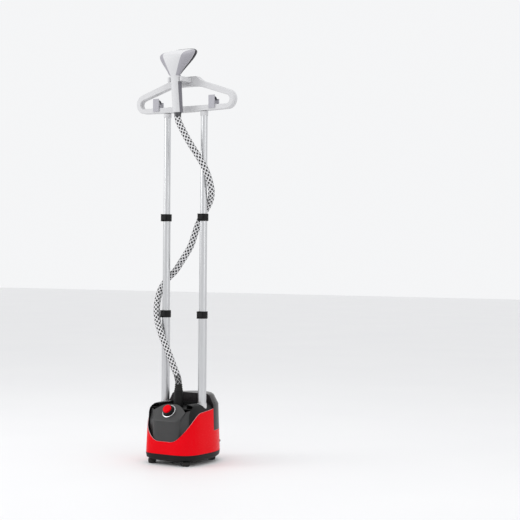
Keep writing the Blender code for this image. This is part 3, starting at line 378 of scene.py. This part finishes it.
# Painted highlight: a pale pinkish colour, mottled by noise, that stands in for the light line on the
# cover's rounded top edge.
painted_highlight_edge, painted_highlight_edge_shader, place = finish("painted_highlight_cover_edge", Specular_IOR_Level=0.4)
highlight_mottle = place.noise(150.0, 3.0)
feed(painted_highlight_edge_shader, "Base Color", highlight_mottle.between((0.62, 0.36, 0.37), (0.72, 0.46, 0.47)))
feed(painted_highlight_edge_shader, "Roughness", 0.3 + highlight_mottle * 0.2)
cover.data.materials.append(painted_highlight_edge)
# Upward-facing faces above the floor band get the painted highlight colour.
for face in cover.data.polygons:
    if face.normal.z > 0.22 and face.center.z > 0.06:
        face.material_index = 1

# ---- Control knob and lamp ----
# A black dial with a domed red cap turns in a bright metal ring. The small red lens beside the
# hose lights while the boiler heats.
metal, metal_shader, place = finish("turned_steel", Metallic=1.0, Anisotropic=0.2)
scratch = place.noise(900.0, 3.0)
feed(metal_shader, "Base Color", scratch.between((0.52, 0.52, 0.53), (0.66, 0.66, 0.67)))
feed(metal_shader, "Roughness", 0.18 + scratch * 0.16)
shown("knob_bezel", metal, ease=0.0003)
shown("knob_shaft", metal)
dark_metal, dark_metal_shader, place = finish("blackened_steel", Metallic=1.0)
wear = place.noise(600.0, 3.0)
feed(dark_metal_shader, "Base Color", wear.between((0.07, 0.07, 0.075), (0.13, 0.13, 0.135)))
feed(dark_metal_shader, "Roughness", 0.28 + wear * 0.18)
shown("hose_ferrule", dark_metal, ease=0.0003)
shown("knob_dial", black, ease=0.0003)
shown("knob_cap", red, ease=0.0003)
lens, lens_shader, place = finish("red_lens", Transmission_Weight=0.35, IOR=1.46)
feed(lens_shader, "Base Color", place.noise(300.0).between((0.50, 0.006, 0.006), (0.72, 0.02, 0.015)))
feed(lens_shader, "Roughness", 0.06 + place.noise(500.0) * 0.08)
shown("pilot_lens", lens, ease=0.0002)

# ---- Water tank ----
# A blow-moulded tank in dark smoked plastic that lifts straight up out of the base, with its
# filler cap and valve underneath.
smoke, smoke_shader, place = finish("smoked_tank_plastic", Coat_Roughness=0.12, Specular_IOR_Level=0.15)
flow = place.stretched(1.0, 1.0, 0.25).noise(26.0, 3.0)
feed(smoke_shader, "Base Color", flow.between((0.012, 0.010, 0.011), (0.022, 0.018, 0.020)))
feed(smoke_shader, "Roughness", 0.22 + flow * 0.14)
feed(smoke_shader, "Coat Weight", 0.02 + flow * 0.05)
shown("water_tank", smoke, ease=0.0012, segments=3)

# ---- Boiler and heat switch ----
# Inside the base: a cast aluminium pot with its cover, and the switch behind the knob.
cast, cast_shader, place = finish("cast_aluminium", Metallic=1.0)
pits = place.noise(420.0, 5.0)
feed(cast_shader, "Base Color", pits.between((0.42, 0.42, 0.43), (0.58, 0.58, 0.59)))
feed(cast_shader, "Roughness", 0.45 + pits * 0.2)
grain(cast_shader, pits, 0.0003)
shown("boiler_pot", cast, ease=0.0005)
shown("boiler_cover", cast, ease=0.0005)
grey, grey_shader, place = finish("mid_grey_plastic", Specular_IOR_Level=0.45)
mottle = place.noise(60.0, 3.0)
feed(grey_shader, "Base Color", mottle.between((0.150, 0.146, 0.166), (0.180, 0.175, 0.198)))
feed(grey_shader, "Roughness", 0.34 + mottle * 0.14)
grain(grey_shader, place.noise(1900.0), 0.00004)
shown("heat_switch", grey, ease=0.0004)
shown("tank_cap", grey, ease=0.0005)

# ---- Poles ----
# Two telescopic masts, each of three thin aluminium tubes that slide in one another. Drawing left
# fine lines along them, and the anodising is satin.
drawn, drawn_shader, place = finish("drawn_aluminium", Metallic=1.0, Anisotropic=0.5)
lines = place.stretched(1.0, 1.0, 0.012).noise(1700.0, 2.0)
haze = place.noise(14.0, 3.0)
feed(drawn_shader, "Base Color", lines.between((0.50, 0.51, 0.52), (0.72, 0.72, 0.73)))
feed(drawn_shader, "Roughness", 0.24 + lines * 0.10 + haze * 0.08)
grain(drawn_shader, lines, 0.00003)
for side in ("left", "right"):
    for stage in ("lower", "middle", "upper"):
        shown(f"{side}_{stage}_pole", drawn, ease=0.0003)

# ---- Clamps ----
# Black collars at each joint of the masts. A short lever pinned to each draws it tight.
for side in ("left", "right"):
    for level in ("lower", "upper"):
        shown(f"{side}_{level}_clamp", black, ease=0.0004)
        shown(f"{side}_{level}_clamp_lever", black, ease=0.0004)

# ---- Garment hanger ----
# A wide loop of light grey plastic in a front and a back half, on sockets at the tops of the
# masts, with a fork in front that holds the handset.
light, light_shader, place = finish("light_grey_plastic", Specular_IOR_Level=0.5)
mist = place.noise(24.0, 3.0)
feed(light_shader, "Base Color", mist.between((0.58, 0.58, 0.59), (0.64, 0.64, 0.65)))
feed(light_shader, "Roughness", 0.32 + mist * 0.14)
grain(light_shader, place.noise(1700.0), 0.00004)
for name in ("hanger_front", "hanger_back"):
    shown(name, light, ease=0.0022, segments=3)
shown("handset_fork", light, ease=0.0015, segments=3)
for name in ("left_hanger_socket", "right_hanger_socket", "left_pole_socket", "right_pole_socket"):
    shown(name, light, ease=0.0004)

# ---- Trouser clips ----
# Lilac-grey spring clips that slide along the lower bar: a jaw over the bar, and a lever pinned
# between its lugs.
lilac, lilac_shader, place = finish("lilac_grey_plastic", Specular_IOR_Level=0.45)
mist = place.noise(45.0, 3.0)
feed(lilac_shader, "Base Color", mist.between((0.38, 0.375, 0.41), (0.44, 0.435, 0.47)))
feed(lilac_shader, "Roughness", 0.36 + mist * 0.14)
grain(lilac_shader, place.noise(1800.0), 0.00004)
spring, spring_shader, place = finish("blued_spring_steel", Metallic=1.0)
temper = place.noise(700.0, 2.0)
feed(spring_shader, "Base Color", temper.between((0.06, 0.06, 0.07), (0.12, 0.12, 0.13)))
feed(spring_shader, "Roughness", 0.30 + temper * 0.2)
CLIP_X, SPRING_Z, SPRING_REACH = 0.128, 1.3460, 0.0133
for side, x in (("left", -CLIP_X), ("right", CLIP_X)):
    shown(f"{side}_clip_jaw", lilac, ease=0.0004)
    shown(f"{side}_clip_lever", lilac, ease=0.0005)
    bm = bmesh.new()
    start = [bm.verts.new((x + half, POLE_LINE_Y - SPRING_REACH, SPRING_Z)) for half in (-0.0045, 0.0045)]
    lip = bm.edges.new(start)
    bmesh.ops.spin(
        bm, geom=[lip, *start], cent=(x, POLE_LINE_Y, SPRING_Z), axis=(1.0, 0.0, 0.0),
        angle=-math.pi, steps=16,
    )
    bmesh.ops.recalc_face_normals(bm, faces=bm.faces)
    bmesh.ops.solidify(bm, geom=bm.faces[:], thickness=0.0009)
    bmesh.ops.recalc_face_normals(bm, faces=bm.faces)
    leaf = bpy.data.objects.new(f"{side}_clip_spring", bpy.data.meshes.new(f"{side}_clip_spring"))
    bm.to_mesh(leaf.data)
    bm.free()
    leaf.data.materials.append(spring)
    bpy.context.scene.collection.objects.link(leaf)
    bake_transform(leaf)

# ---- Handset ----
# A light grey shell that flares from the handle to the head, a darker grip let into the handle,
# and a dark coated steam plate in a rim.
WING_FOOT, WING_SLOPE, FRONT_HALF_WIDTH, NECK_TOP = 1.4330, 0.42, 0.0105, 1.4350
plate_coat, plate_shader, place = finish("plate_coating", Specular_IOR_Level=0.5)
fleck = place.noise(800.0, 3.0)
feed(plate_shader, "Base Color", fleck.between((0.045, 0.044, 0.050), (0.085, 0.083, 0.092)))
feed(plate_shader, "Roughness", 0.26 + fleck * 0.16)
shell, shell_shader, place = finish("shell_plastic_with_painted_side_shade", Specular_IOR_Level=0.5)
mist = place.noise(24.0, 3.0)
height = place.part(2)
# Painted shade: where the head flares wider than the neck, both side wings take a darker lilac grey that
# stands in for the shade on the head's side facets.
painted_shade_wing = (place.part(0).size() > (height - WING_FOOT) * WING_SLOPE + FRONT_HALF_WIDTH) * (height > NECK_TOP)
tone = (0.3 + mist * 0.6).between((0.60, 0.60, 0.612), (0.66, 0.66, 0.672))
# The painted shade colour of the side wings.
painted_shade_wing_tone = (0.3 + mist * 0.6).between((0.32, 0.312, 0.345), (0.38, 0.372, 0.405))
shell_colour_with_painted_shade = painted_shade_wing.node("Mix", {0: painted_shade_wing, 6: tone, 7: painted_shade_wing_tone}, output=2, data_type="RGBA")
feed(shell_shader, "Base Color", shell_colour_with_painted_shade)
feed(shell_shader, "Roughness", 0.30 + mist * 0.14)
grain(shell_shader, place.noise(1700.0), 0.00004)
shown("handset_shell", shell, ease=0.0008, sharp=45.0)
shown("handset_grip", grey, ease=0.0006, sharp=45.0)
shown("plate_rim", plate_coat, ease=0.0006)
shown("steam_plate", plate_coat, ease=0.0003)
